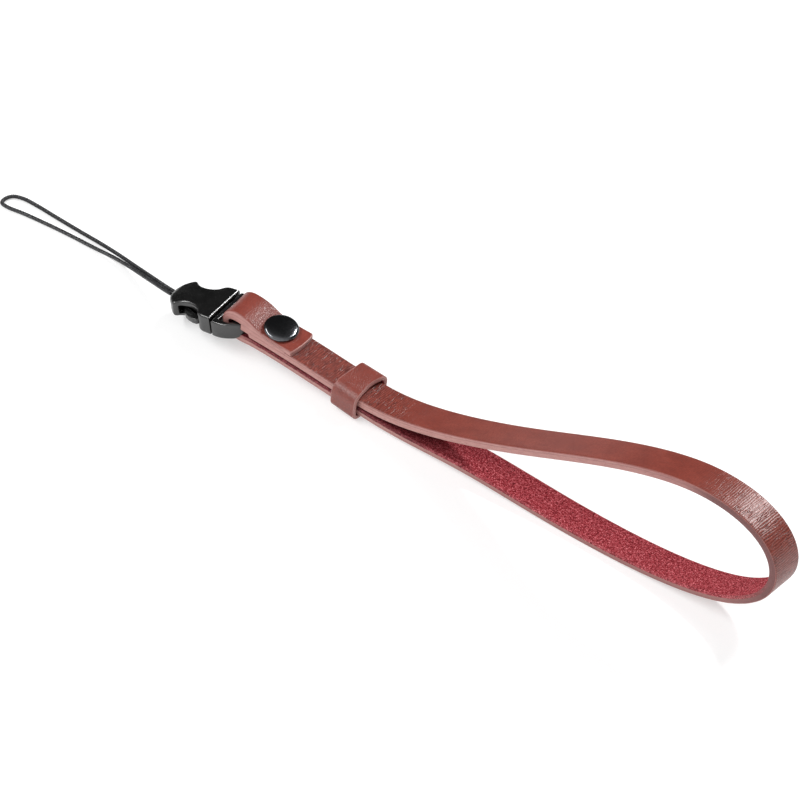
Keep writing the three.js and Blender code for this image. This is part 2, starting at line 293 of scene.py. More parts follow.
def yarn_rings(number):
    """A flat oval yarn that winds round the core and goes over and under those of the other hand.

    Its angle grows evenly with the run, one way for even numbers and the other way for odd ones,
    and its distance from the centre line is a sine that peaks at every other crossing.
    """
    hand = 1 if number % 2 == 0 else -1
    start = 2 * np.pi * (number // 2) / (YARNS // 2)
    angle = hand * 2 * np.pi * cord_run / YARN_PITCH + start
    crossing = YARNS // 2 * (angle if hand > 0 else angle + np.pi / (YARNS // 2))
    weave = YARN_WEAVE * hand * np.sin(crossing)
    centre, outward = around_cord(CORD_DIAMETER / 2 - YARN_DEPTH / 2 - YARN_WEAVE + weave, angle)
    across = unit(np.cross(np.gradient(centre, axis=0), outward))
    turn = np.linspace(0, 2 * np.pi, YARN_POINTS, endpoint=False)
    oval_out = np.sin(turn)[None, :, None] * outward[:, None] * YARN_DEPTH / 2
    oval_side = np.cos(turn)[None, :, None] * across[:, None] * YARN_WIDTH / 2
    return centre[:, None] + oval_out + oval_side


everywhere = np.ones(len(cord_line))
core_turn = np.linspace(0, 2 * np.pi, CORE_POINTS, endpoint=False)
core_rings = np.stack([
    around_cord(CORE_RADIUS * everywhere, angle * everywhere)[0] for angle in core_turn
], 1)
cord_shells = [core_rings[::CORE_SKIP]] + [yarn_rings(n) for n in range(YARNS)]
# Run, place in the section and a number of its own for each point of each shell.
yarn_marks = np.concatenate([
    np.stack([
        np.repeat(np.linspace(0, cord_run[-1], len(rings)), rings.shape[1]),
        np.tile(np.linspace(0, 1, rings.shape[1]), len(rings)),
        np.full(rings.shape[0] * rings.shape[1], YARN_SEED * n),
    ], -1) for n, rings in enumerate(cord_shells)
])
cord = make_piece("cord_braid", cord_shells, cord_material(), yarn=yarn_marks)
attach(cord, "root")
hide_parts("cord_loop")


# ---------------------------------------------------------------- leather strip
# One strip of two glued layers, 10 mm wide, grain side out and suede side in, its edges painted
# pink. It runs from the tab under the snap, round the buckle's bar, back as the bottom layer, round
# the wrist loop and back under the tab.
WIDTH = 10.0
LAYER = 2.6
TIP = 5.6                       # degrees between the closed end and the surface
FOOT = np.array([-1.0, 0.0, -1.55]) # the keeper's lower edge, which stands on the surface
ROW_SIDE = -ROW_ORIGIN[1]       # where the strip's middle lies across the row frame

# Closed end, from the tab's tip round the bar and back: x, z, thickness.
TAB_AND_FOLD = np.array([
    (-25.62, 6.15, 1.85), (-30.0, 6.1, 1.8), (-34.2, 6.1, 1.8), (-37.4, 6.2, 1.9),
    (-39.4, 6.35, 2.3), (-41.3, 6.55, 3.0), (-43.4, 6.80, 3.4), (-45.4, 6.90, 3.4),
    (-47.4, 6.65, 3.3), (-49.1, 5.80, 2.8), (-50.1, 4.4, 2.2), (-50.1, 2.8, 2.1), (-49.3, 1.2, 2.1),
    (-47.8, 0.2, 2.2), (-45.8, -0.1, 2.3), (-43.6, 0.1, 2.4), (-41.0, 0.55, 2.4), (-38.0, 0.8, 2.4),
    (-34.2, 1.05, 2.4), (-28.0, 1.2, 2.4), (-20.0, 1.25, 2.5), (-10.0, 1.25, 2.5),
])
MIDDLE_LAYER = np.array([
    (-7.0, 4.18, 2.55), (-20.0, 4.15, 2.5), (-28.0, 4.05, 2.5), (-34.2, 3.9, 2.5),
    (-38.0, 3.7, 2.5), (-41.5, 3.45, 2.4),
])
# Wrist loop: distance along the leather from the keeper, bend in degrees per millimetre. The bends
# are the rounded result of a fitting program.
BENDS = np.array([
    (0, 0.27), (10, 0.48), (22, 0.15), (35, -0.35), (51, -0.07), (69, 0.16), (88, 0.20),
    (106, 0.35), (120, 0.60), (134, 1.31), (143, 2.14), (151, 3.78), (159, 4.92), (165, 4.22),
    (173, 2.46), (182, 1.43), (192, 1.06), (206, 0.45), (226, 0.19), (255, -0.11), (280, -0.23),
    (294, -0.43), (306, -0.80), (314, -1.23),
])
LOOP_START = np.array([-2.0, 0.0, 1.25])
LOOP_END = np.array([0.6, 0.0, 4.45])
LOOP_SPANS, STEPS_IN_SPAN = 78, 8


def turn_y(degrees):
    """Rotation about Y."""
    c, s = np.cos(np.radians(degrees)), np.sin(np.radians(degrees))
    return np.array([(c, 0, s), (0, 1, 0), (-s, 0, c)])


def stem_to_row(points):
    """Places of the closed end, tipped about the keeper's foot and set down, in the row frame."""
    return (points - FOOT) @ turn_y(TIP).T + FOOT * [1, 1, 0] - ROW_ORIGIN


def loop_line():
    """The wrist loop's centre line: its bend is summed to a heading, and the heading to a place."""
    step = BENDS[-1, 0] / (LOOP_SPANS * STEPS_IN_SPAN)
    run = np.arange(LOOP_SPANS * STEPS_IN_SPAN + 1) * step
    bend = np.interp(run[1:] - step / 2, BENDS[:, 0], BENDS[:, 1]) * step
    heading = np.radians(-TIP + np.cumsum(bend) - bend / 2)
    line = np.cumsum(np.stack([np.cos(heading), 0 * heading, np.sin(heading)], -1) * step, axis=0)
    line = stem_to_row(LOOP_START) + np.vstack([np.zeros(3), line])
    left_over = stem_to_row(LOOP_END) - line[-1]
    return (line + left_over * (run / run[-1])[:, None])[::STEPS_IN_SPAN]


def from_stem(rows):
    """x, z, thickness rows of the closed end as places in the row frame with their thickness."""
    flat = np.stack([rows[:, 0], 0 * rows[:, 0], rows[:, 1]], -1)
    return np.column_stack([stem_to_row(flat), rows[:, 2]])


loop = loop_line()
strip_rows = np.vstack([
    from_stem(TAB_AND_FOLD),
    np.column_stack([loop, np.full(len(loop), LAYER)]),
    from_stem(MIDDLE_LAYER),
])

CORNER, EDGE_SWELL = 0.38, 0.05 # rounding of the painted edges, how far they swell
CORNER_SHARE = 0.95             # most of the half thickness that a corner may take
LINE_STEP, STRIP_STEP = 0.1, 0.45
END_ROUND = 0.5                 # length over which a cut end is rounded off
END_SHARES = np.array([0.004, 0.03, 0.08, 0.16, 0.28, 0.45, 0.7]) # closer sections in that length
SNAP_X, SNAP_PRESS = -34.0, 0.3 # where the snap sits along the strip, how deep it presses in
TAB_TOP, DIMPLE_HEIGHT = 7.0, 2.5 # the dimple acts on the tab's top, within this height of it
DIMPLE_EDGE, DIMPLE_FADE = 9.0, 4.0 # radius where its dimple ends, and how wide its slope is
TAB_RUN = 20.0                  # only this much of the strip, from its tip, takes the dimple
TIP_FADE = 14.0                 # length over which the shape of the tab's tip dies out
TIP_BOW, TIP_BOW_AT = 0.018, -0.6 # the tip's flat arc, and the place across where it stands out most
FAR_CORNER, FAR_CORNER_WIDTH, FAR_CUT = 3.4, 1.6, 0.45
NEAR_CORNER, NEAR_CORNER_WIDTH, NEAR_CUT = -4.0, 1.0, 0.4
FOLD_LEAN, LEAN_OFFSET = 1.0, 0.1 # how far the fold's far edge leans, less a little all across
LEAN_START = np.array([-40.0, 0.0, 4.0])
LEAN_REACH = 8.0                # length over which the lean sets in
FACE_POINTS, CORNER_POINTS, EDGE_POINTS = 18, 6, 9


def ease(share):
    """From zero to one with a level start and end: three squares less two cubes."""
    k = np.clip(share, 0, 1)
    return k * k * (3 - 2 * k)


def edge_section(face, corner, edge):
    """Section of a strip as four arrays: side, sine of the corner, up or down, cosine of the corner.

    The points go once round: grain face, near corner and edge, suede face, far corner and edge. A
    point lies at side * (half width - radius) + sine * radius across, and at
    height * (half thickness - radius) + cosine * radius outwards.
    """
    turn = np.linspace(0, np.pi / 2, corner, endpoint=False)
    flat = np.linspace(1, -1, face, endpoint=False)
    rise = np.linspace(1, -1, edge, endpoint=False)
    one, none = np.ones, np.zeros
    side = np.concatenate([flat, -one(corner), -one(edge), -one(corner)])
    sine = np.concatenate([none(face), -np.sin(turn), -one(edge), -np.cos(turn)])
    height = np.concatenate([one(face), one(corner), rise, -one(corner)])
    cosine = np.concatenate([one(face), np.cos(turn), none(edge), -np.sin(turn)])
    return tuple(np.concatenate([half, -half]) for half in (side, sine, height, cosine))


def band_sections(centre, outward, across, half_width, half_thickness, corner, swell):
    """Sections of a leather band along a line, with their places across and outwards.

    The corner's radius stays a little under the half thickness, and the edges swell between the
    corners by one minus the square of the height.
    """
    side, sine, height, cosine = edge_section(FACE_POINTS, CORNER_POINTS, EDGE_POINTS)
    radius = np.minimum(corner, CORNER_SHARE * half_thickness)[:, None]
    y = side * (half_width[:, None] - radius) + sine * radius
    y = y + np.sign(side) * swell * (np.abs(sine) == 1) * (1 - height ** 2)
    out = height * (half_thickness[:, None] - radius) + cosine * radius
    return centre[:, None] + outward[:, None] * out[..., None] + across * y[..., None], y, out


def end_taper(distance):
    """Share of the full thickness near a cut end: a squarish quarter round, a cubic circle."""
    reach = 1 - np.clip(distance / END_ROUND, 0, 1)
    return (1 - reach ** 3) ** (1 / 3)


def fold_shear(x, y):
    """How far the fold leans to the buckle: by the square of the share across to the far edge.

    It sets in smoothly along the closed end.
    """
    across = (y + WIDTH / 2) / WIDTH
    return ease((stem_to_row(LEAN_START)[0] - x) / LEAN_REACH) * (FOLD_LEAN * across ** 2 - LEAN_OFFSET)


def tip_set_back(y):
    """How far the tab's tip is set back across it: a flat arc with rounded corners."""
    far = np.clip((y - FAR_CORNER) / FAR_CORNER_WIDTH, 0, 1)
    near = np.clip((NEAR_CORNER - y) / NEAR_CORNER_WIDTH, 0, 1)
    return TIP_BOW * (y - TIP_BOW_AT) ** 2 + FAR_CUT * far ** 2 + NEAR_CUT * near ** 2


def snap_dimple(places, out):
    """How deep the snap presses into the tab's top: level under the cap, then easing to nothing."""
    axis = stem_to_row(np.array([SNAP_X, 0, TAB_TOP]))
    away = np.hypot(places[..., 0] - axis[0], places[..., 1] - axis[1])
    top = (out > 0) & (np.abs(places[..., 2] - axis[2]) < DIMPLE_HEIGHT)
    return np.where(top, SNAP_PRESS * ease((DIMPLE_EDGE - away) / DIMPLE_FADE), 0)


def strip_shape():
    """Sections of the strip in the row frame, and each point's run, place across and height."""
    dense = smooth_line(strip_rows, LINE_STEP)
    run = run_along(dense[:, [0, 2]])
    near_end = END_ROUND * END_SHARES
    even = np.linspace(END_ROUND, run[-1] - END_ROUND, int(run[-1] / STRIP_STEP))
    stations = np.concatenate([near_end, even, run[-1] - near_end[::-1]])
    x, z = (np.interp(stations, run, dense[:, axis]) for axis in (0, 2))
    centre = np.stack([x, 0 * stations, z], -1)
    along = unit(np.gradient(centre, stations, axis=0))
    outward = np.stack([along[:, 2], 0 * stations, -along[:, 0]], -1)
    tapers = end_taper(stations) * end_taper(run[-1] - stations)
    half_thickness = np.interp(stations, run, dense[:, 3]) * tapers / 2
    half_width = np.full(len(stations), WIDTH / 2)
    places, y, out = band_sections(
        centre, outward, np.array([0, 1, 0]), half_width, half_thickness, CORNER, EDGE_SWELL,
    )
    places = places + [0, ROW_SIDE, 0]
    fade = np.clip(1 - stations / TIP_FADE, 0, 1) ** 1.5
    places += along[:, None] * (fade[:, None] * tip_set_back(y))[..., None]
    places[..., 2] -= snap_dimple(places, out) * (stations < TAB_RUN)[:, None]
    places[..., 0] -= fold_shear(places[..., 0], y)
    return places, np.stack([np.broadcast_to(stations[:, None], y.shape), y, out], -1)


strip_places, strip_marks = strip_shape()

# By distance along the strip: how much the grain face is creased across, how much it is pebbled,
# and how pale the edge paint is; it is darker along the loop and at the nose, partly as painted shade.
CREASES = np.array([
    (0, 0.03), (19, 0.06), (24, 0.25), (40, 0.06), (60, 0.05), (205, 0.06), (217, 0.3), (236, 0.8),
    (250, 0.8), (260, 0.55), (268, 0.15), (276, 0.06), (366, 0.06), (384, 0.75), (398, 0.85),
    (433, 0.85),
])
PEBBLES = np.array([
    (0, 0.15), (9, 0.3), (11, 1.0), (15, 1.0), (19, 0.3), (26, 0.12), (433, 0.12),
])
PALENESS_AND_SHADE = np.array([
    (0, 0.95), (60, 0.85), (100, 0.7), (130, 0.45), (180, 0.35), (206, 0.4), (214, 0.2), (224, 0.0),
    (262, 0.0), (272, 0.5), (290, 0.75), (350, 0.9), (433, 0.95),
])
WRINKLE_SPACING = 0.65
WAVE_LENGTH = 0.314             # the wave texture's own spacing at a scale of one
FINE_RUN = (370, 384)           # over this run the wrinkles turn finer and shallower

FILLER_SPAN = (-44.5, -27.6)    # along the closed end
FILLER_SECTIONS, FILLER_CORNER = 60, 0.05
FILLER_PROUD = 0.02             # how far it stands out of the joint
FILLER_MARK = 60.0              # added to its place along, so its paint's pattern is its own


def filler_sections():
    """The painted glue line between the tab and the layer under it, flush with both edges."""
    x = np.linspace(*FILLER_SPAN, FILLER_SECTIONS)
    upper = TAB_AND_FOLD[:8][::-1]
    lower = MIDDLE_LAYER[::-1]
    tab = np.interp(x, upper[:, 0], upper[:, 1])
    middle = np.interp(x, lower[:, 0], lower[:, 1])
    centre = stem_to_row(np.stack([x, 0 * x, (tab + middle) / 2], -1)) * [1, 0, 1]
    upward = np.array([np.sin(np.radians(TIP)), 0, np.cos(np.radians(TIP))])
    outward = np.broadcast_to(upward, centre.shape)
    half_width = np.full(len(x), WIDTH / 2 + FILLER_PROUD)
    places, y, out = band_sections(
        centre, outward, np.array([0, 1, 0]), half_width, (tab - middle) / 2, FILLER_CORNER, 0.0,
    )
    places = places + [0, ROW_SIDE, 0]
    toward_tip = np.linspace(0, 1, len(x))[:, None]
    places[..., 0] -= fold_shear(places[..., 0], y) + tip_set_back(y) * toward_tip ** 2
    return places, np.stack([np.broadcast_to(x[:, None] + FILLER_MARK, y.shape), y, out], -1)


def mixed(tree, share, first, second):
    """A colour between two; each is a socket or a colour code."""
    first, second = (linear(c) if isinstance(c, str) else c for c in (first, second))
    made = add_node(tree, "ShaderNodeMix", {0: share, 6: first, 7: second}, data_type="RGBA")
    return made.outputs[2]


def spread(tree, value, low, high, start=0.0, end=1.0):
    """The value's span from low to high as start to end, clamped; low may be the greater."""
    return add_node(tree, "ShaderNodeMapRange", {
        "Value": value, "From Min": low, "From Max": high, "To Min": start, "To Max": end,
    }).outputs["Result"]


def strip_noise(tree, along, across, seed=0.0, detail=3.0, roughness=0.6):
    """Fractal noise over the leather, at so many cells for each millimetre along and across it."""
    place = sized(tree, "strip", along, across, across, (seed, seed, 0.0))
    return noise(tree, place, 1.0, detail, roughness)


def off_middle(tree, value, width):
    """One where a noise passes its middle value, falling to zero at a width to each side."""
    away = combine(tree, "ABSOLUTE", combine(tree, "SUBTRACT", value, 0.5))
    return spread(tree, away, width, 0.0)


def strip_axes(tree):
    """Distance along the strip, place across it and height in it, as three values."""
    place = attribute(tree, "strip", "Vector")
    return add_node(tree, "ShaderNodeSeparateXYZ", {0: place}).outputs


def grain_leather():
    """Smooth dyed grain leather: mottled red-brown, pebbled, and wrinkled across where it bends.

    Pebbles are plateaus parted by narrow valleys, painted dark there as painted shade. Wrinkles are
    distorted bands across the strip, in patches, with a few long cracks among them; valleys and cracks
    are painted dark as painted shade, and the crests pale, partly rubbed and partly painted highlight.
    On the middle layer they turn to finer and shallower lines. The edge paint laps a little over
    the corners.
    """
    material, tree, shader = new_material("grain_leather", Specular_IOR_Level=0.58)
    link = tree.links.new
    along, across, _ = strip_axes(tree)
    pebbled = attribute(tree, "pebbled")
    blotches = strip_noise(tree, 0.16, 0.3, 0.0, 4.0)
    flecks = strip_noise(tree, 2.4, 1.8, 3.1, 4.0, 0.65)
    base = mixed(tree, spread(tree, blotches, 0.3, 0.72), "76342a", "8b4135")
    base = mixed(tree, spread(tree, flecks, 0.35, 0.68), mixed(tree, 0.6, base, "64271f"), base)

    wave = add_node(tree, "ShaderNodeTexWave", {
        "Vector": sized(tree, "strip", 1.0, 0.34, 0.34), "Scale": WAVE_LENGTH / WRINKLE_SPACING,
        "Distortion": 7.0, "Detail": 3.0, "Detail Scale": 1.1, "Detail Roughness": 0.6,
    }, wave_type="BANDS", bands_direction="X").outputs["Fac"]
    patches = spread(tree, strip_noise(tree, 0.45, 0.4, 4.1, 2.0), 0.3, 0.62, 0.4, 1.0)
    creased = times(tree, attribute(tree, "creased"), patches)
    cracks = off_middle(tree, strip_noise(tree, 0.9, 0.14, 7.3, 1.5, 0.5), 0.02)
    cracks = times(tree, cracks, creased)
    fine = spread(tree, along, *FINE_RUN)
    fine_lines = spread(tree, strip_noise(tree, 2.3, 0.62, 5.3, 2.5, 0.55), 0.5, 0.38)
    # painted shade: wrinkle valleys, and the finer lines on the middle layer, are painted dark
    valleys = combine(tree, "MAXIMUM", spread(tree, wave, 0.42, 0.05), times(tree, fine_lines, fine))
    valleys = times(tree, valleys, creased)
    # paler crests, partly rubbed and partly painted highlight
    crests = times(tree, spread(tree, wave, 0.72, 1.0), creased)
    base = mixed(tree, times(tree, crests, 0.35), base, "ac6a62")
    base = mixed(tree, times(tree, valleys, 0.85), base, "3c1412")
    # painted shade in the cracks
    base = mixed(tree, times(tree, cracks, 0.85), base, "3c1513")

    pebble = add_node(tree, "ShaderNodeTexVoronoi", {
        "Vector": sized(tree, "strip", 1.7, 1.5, 1.5), "Scale": 1.0,
    }, feature="DISTANCE_TO_EDGE").outputs["Distance"]
    plateau = times(tree, spread(tree, pebble, 0.02, 0.2), pebbled)
    # painted shade: the narrow valleys between pebbles are painted dark
    pebble_seam_shade = times(tree, spread(tree, pebble, 0.1, 0.0), pebbled)
    base = mixed(tree, times(tree, pebble_seam_shade, 0.6), base, "4f2020")

    off_centre = plus(tree, combine(tree, "ABSOLUTE", across), times(tree, flecks, 0.25))
    painted = spread(tree, off_centre, 4.93, 5.08)
    base = mixed(tree, times(tree, painted, 0.55), base, "9c6660")
    link(base, shader.inputs["Base Color"])
    link(spread(tree, flecks, 0.3, 0.7, 0.42, 0.32), shader.inputs["Roughness"])

    normal = bump(tree, plateau, 0.06)
    normal = bump(tree, times(tree, strip_noise(tree, 2.4, 2.2, 1.9, 1.5), pebbled), 0.05, normal)
    rise = times(tree, plus(tree, creased, 0.03), spread(tree, fine, 0.0, 1.0, 1.0, 0.2))
    normal = bump(tree, times(tree, wave, rise), 0.052, normal)
    link(bump(tree, cracks, -0.08, normal), shader.inputs["Normal"])
    return material


# Painted shade toward the loop's throat, where the upper layer shades the suede.
THROAT_SHADE_RUN = (114, 92)          # the nap deepens between these distances along the strip
LAP_IN, LAP_OUT = (30, 40), (232, 206) # where its lap over the lower layer's edge sets in and ends


def suede_nap(tree):
    """Short matted crimson fibres: their height, and their colour from dark roots to light tips.

    Toward the loop's throat the colour is painted darker, as painted shade under the upper layer.
    """
    clumps = strip_noise(tree, 1.5, 1.7, 0.0, 3.0, 0.6)
    fibres = strip_noise(tree, 3.3, 3.7, 2.3, 4.0, 0.78)
    nap = plus(tree, times(tree, fibres, 0.72), times(tree, clumps, 0.28))
    crimson = ramp(tree, nap, (0.38, "2c070a"), (0.46, "6c1d24"), (0.53, "a03840"), (0.61, "dd8389"))
    along, across, _ = strip_axes(tree)
    # painted shade: the nap is painted darker toward the loop's throat
    throat_shade = spread(tree, plus(tree, along, across), *THROAT_SHADE_RUN)
    return nap, mixed(tree, times(tree, throat_shade, 0.6), crimson, "2c070a")


def edge_paint():
    """Dusty rose edge paint in long streaks; a fine groove marks the glue line of the two layers.

    On the lower layer the suede's nap laps over the inner third of the edge.
    """
    material, tree, shader = new_material("edge_paint")
    link = tree.links.new
    paleness = attribute(tree, "paleness")
    along, _, height = strip_axes(tree)
    streaks = noise(tree, sized(tree, "strip", 0.5, 3.5, 3.5), 1.0, 4.0, 0.65)
    specks = noise(tree, sized(tree, "strip", 3.0, 3.5, 3.5), 1.0, 3.0, 0.6)
    # partly painted shade: the edge paint darkens with its paleness along the loop and at the nose
    base = ramp(tree, paleness, (0.0, "643634"), (0.5, "8f5a56"), (1.0, "a4716b"))
    pale = times(tree, spread(tree, streaks, 0.35, 0.65), times(tree, paleness, 0.4))
    base = mixed(tree, pale, base, "c39a92")
    base = mixed(tree, times(tree, spread(tree, specks, 0.42, 0.3), 0.6), base, "74403d")
    wander = times(tree, combine(tree, "SUBTRACT", streaks, 0.5), 0.5)
    off_seam = plus(tree, combine(tree, "SUBTRACT", height, 0.5), wander)
    seam = spread(tree, combine(tree, "ABSOLUTE", off_seam), 0.16, 0.03)
    base = mixed(tree, times(tree, seam, 0.45), base, "6a3a37")

    # the crimson carries the painted shade toward the throat onto the lapped edge
    nap, crimson = suede_nap(tree)
    rim = plus(tree, height, times(tree, combine(tree, "SUBTRACT", nap, 0.5), 0.7))
    on_lower = times(tree, spread(tree, along, *LAP_IN), spread(tree, along, *LAP_OUT))
    lap = times(tree, spread(tree, rim, -0.3, -0.46), on_lower)
    link(mixed(tree, lap, base, crimson), shader.inputs["Base Color"])
    link(spread(tree, lap, 0.0, 1.0, 0.45, 0.95), shader.inputs["Roughness"])
    normal = bump(tree, plus(tree, streaks, times(tree, specks, 0.4)), 0.06)
    link(bump(tree, seam, -0.05, normal), shader.inputs["Normal"])
    return material


def suede():
    """Crimson flesh side: short matted fibres, light tips over dark roots."""
    material, tree, shader = new_material(
        "crimson_suede", Roughness=0.95, Specular_IOR_Level=0.08,
        Sheen_Weight=0.05, Sheen_Roughness=0.5, Sheen_Tint=linear("d06a6a"),
    )
    # the nap's colour carries painted shade toward the loop's throat
    nap, crimson = suede_nap(tree)
    tree.links.new(crimson, shader.inputs["Base Color"])
    tree.links.new(bump(tree, nap, 0.4), shader.inputs["Normal"])
    return material


# Slots round a leather section: grain to just over the corner, painted edge, suede, painted edge.
GRAIN, EDGE, FLESH = 0, 1, 2
END_ROWS = 5                    # rows of faces of a cut end that are painted too
half_section = FACE_POINTS + 2 * CORNER_POINTS + EDGE_POINTS
place_round = np.arange(2 * half_section)
grain_ends = FACE_POINTS + CORNER_POINTS - 1
suede_starts = half_section - 1
suede_ends = half_section + FACE_POINTS + 1
slot_round = np.select(
    [place_round < grain_ends, place_round < suede_starts, place_round < suede_ends],
    [GRAIN, EDGE, FLESH], EDGE,
)
slot_round[2 * half_section - CORNER_POINTS + 1:] = GRAIN


def paint_faces(piece, slots):
    """Gives each face of a piece its material slot."""
    slots = np.concatenate(slots).astype(np.int32)
    piece.data.polygons.foreach_set("material_index", slots)


filler_places, filler_marks = filler_sections()
leather, paint, inner = grain_leather(), edge_paint(), suede()
marks = np.concatenate([strip_marks.reshape(-1, 3), filler_marks.reshape(-1, 3)])
strip = make_piece(
    "leather_strip", [strip_places, filler_places], leather, strip=marks,
    creased=np.interp(marks[:, 0], *CREASES.T), pebbled=np.interp(marks[:, 0], *PEBBLES.T),
    paleness=np.interp(marks[:, 0], *PALENESS_AND_SHADE.T),
)
strip.data.materials.append(paint)
strip.data.materials.append(inner)
filler_faces = (len(filler_places) - 1) * 2 * half_section + 2 # with a cap on each end
strip_slots = np.tile(slot_round, (len(strip_places) - 1, 1))
strip_slots[:END_ROWS] = strip_slots[-END_ROWS:] = EDGE
paint_faces(strip, [strip_slots.ravel(), [EDGE, EDGE], np.full(filler_faces, EDGE)])
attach(strip, "root")
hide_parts("strap")


# ---------------------------------------------------------------- keeper
# A band of the same leather, 1.2 mm thick, closed round both layers of the strip where the wrist
# loop begins. Its near shoulder is rounder, and its edge on the loop's side is drawn in.
KEEPER_CENTRE = np.array([-5.25, 0.0, 0.0])
KEEPER_LENGTH, KEEPER_HALF, KEEPER_WALL = 9.0, 6.75, 1.2
KEEPER_BOTTOM, KEEPER_TOP = -1.55, 7.45
KEEPER_TURN = -2.5
KEEPER_CORNERS = {"far_top": 2.2, "near_top": 3.5, "near_bottom": 2.3, "far_bottom": 2.0}
KEEPER_STEP, ARC_POINTS = 0.3, 12
KEEPER_ROUNDING, KEEPER_SWELL = 0.4, 0.04
DRAWN_FROM, DRAWN_REACH = 3.5, 3.5 # height from which it is shaped, and over what height that grows
DRAWN_IN, DRAWN_ASIDE = 1.25, 0.3 # how far the loop-side edge is pulled in, and its lean aside
DRAWN_AT = 0.2                  # share of the half width where it is pulled in most
SHOULDER_RISE = 0.8             # how much the far shoulder stands up
KEEPER_MARK = 500.0             # moves the grain's pattern away from the strip's
KEEPER_CREASED, KEEPER_PEBBLED, KEEPER_PALENESS = 0.04, 0.42, 0.8


def turn_z(degrees):
    """Rotation about Z."""
    c, s = np.cos(np.radians(degrees)), np.sin(np.radians(degrees))
    return np.array([(c, -s, 0), (s, c, 0), (0, 0, 1)])


def keeper_path(step):
    """Middle of the band's wall, once round in y and z: four arcs joined by straight runs, closed."""
    inset = KEEPER_WALL / 2
    y, low, high = KEEPER_HALF - inset, KEEPER_BOTTOM + inset, KEEPER_TOP - inset
    spots = [(y, high, 0), (-y, high, 90), (-y, low, 180), (y, low, 270)] # y, z, first angle
    arcs = []
    for (cy, cz, start), radius in zip(spots, KEEPER_CORNERS.values()):
        turn = np.radians(start + np.linspace(0, 90, ARC_POINTS))
        r = radius - inset
        middle = np.array([cy, cz]) - r * np.sign([cy, cz])
        arcs.append(middle + r * np.stack([np.cos(turn), np.sin(turn)], -1))
    ring = np.vstack([*arcs, arcs[0][:1]])
    run = run_along(ring)
    even = np.linspace(0, run[-1], int(run[-1] / step) + 1)[:-1]
    return even, np.stack([np.interp(even, run, ring[:, axis]) for axis in range(2)], -1)


def keeper_shape():
    """Sections of the band round its path, with the grain side outwards, in the row frame.

    Its upper part is pulled in on the loop's side by a square cosine across it, and its far
    shoulder is raised, more toward the loop.
    """
    run, ring = keeper_path(KEEPER_STEP)
    tangent = unit(np.roll(ring, -1, 0) - np.roll(ring, 1, 0))
    centre = np.column_stack([0 * run, ring])
    outward = np.column_stack([0 * run, tangent[:, 1], -tangent[:, 0]])
    half = np.full(len(run), KEEPER_LENGTH / 2)
    wall = np.full(len(run), KEEPER_WALL / 2)
    places, y, out = band_sections(
        centre, outward, np.array([1, 0, 0]), half, wall, KEEPER_ROUNDING, KEEPER_SWELL,
    )
    height = np.clip((places[..., 2] - DRAWN_FROM) / DRAWN_REACH, 0, 1)
    loop_side = np.clip(places[..., 0] / (KEEPER_LENGTH / 2), 0, 1) ** 2
    side = places[..., 1] / KEEPER_HALF
    pulled = -DRAWN_IN * np.cos((side - DRAWN_AT) * np.pi / 2) ** 2 + DRAWN_ASIDE * side
    places[..., 0] += pulled * height * loop_side
    toward_loop = np.clip(places[..., 0] / KEEPER_LENGTH + 0.5, 0, 1)
    places[..., 2] += SHOULDER_RISE * height * toward_loop * np.clip(side, 0, 1)
    places = stem_to_row(places @ turn_z(KEEPER_TURN).T + KEEPER_CENTRE)
    mark_run = np.broadcast_to(run[:, None] + KEEPER_MARK, y.shape)
    return places, np.stack([mark_run, y * WIDTH / KEEPER_LENGTH, out], -1)


keeper_places, keeper_marks = keeper_shape()
keeper_points = keeper_places.shape[0] * keeper_places.shape[1]
keeper = make_piece(
    "keeper_band", [keeper_places], leather, closed=True, strip=keeper_marks.reshape(-1, 3),
    creased=np.full(keeper_points, KEEPER_CREASED), pebbled=np.full(keeper_points, KEEPER_PEBBLED),
    paleness=np.full(keeper_points, KEEPER_PALENESS),
)
keeper.data.materials.append(paint)
keeper.data.materials.append(inner)
# On the keeper the paint starts where the flat face ends.
past_face = place_round >= FACE_POINTS
keeper_slots = np.where((slot_round == GRAIN) & past_face, EDGE, slot_round)
paint_faces(keeper, [np.tile(keeper_slots, len(keeper_places))])
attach(keeper, "root")
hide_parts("keeper")


# ---------------------------------------------------------------- snap
# A black plated press snap through the tab and both layers: a domed cap 10 mm across with a
# rolled rim, and the post that is riveted from below.
CAP_AT, CAP_TILT = 6.95, 4.0    # height of the tab's top, degrees the cap tips with the tab
# Radius and height over the tab, from the barrel up over the rolled rim to the crown.
CAP_PROFILE = np.array([
    (1.5, -3.0), (1.5, -0.15), (4.4, -0.18), (4.62, -0.1), (4.66, 0.1), (4.6, 0.28), (4.72, 0.36),
    (4.92, 0.46), (5.0, 0.64), (4.96, 0.82), (4.82, 1.02), (4.58, 1.2), (4.28, 1.33), (3.9, 1.42),
    (3.2, 1.52), (2.4, 1.6), (1.2, 1.67), (0.4, 1.695), (0.02, 1.7),
])
# Radius and height, from under the head round its rim and up the post.
POST_PROFILE = np.array([
    (0.02, -0.85), (1.2, -0.85), (1.45, -0.95), (1.6, -1.05), (2.4, -1.1), (2.9, -1.04),
    (3.25, -0.88), (3.4, -0.6), (3.3, -0.3), (2.9, -0.12), (1.5, -0.1), (1.5, 3.6), (0.02, 3.6),
])
TURN_POINTS, PROFILE_STEP = 128, 0.08


def turned(profile):
    """Sections of a body turned about Z: a smooth line through the profile, carried round."""
    line = smooth_line(profile, PROFILE_STEP)
    angle = np.linspace(0, 2 * np.pi, TURN_POINTS, endpoint=False)
    round_z = np.stack([np.cos(angle), np.sin(angle), 0 * angle], -1)
    return line[:, None, :1] * round_z[None] + line[:, None, 1:] * [0, 0, 1]


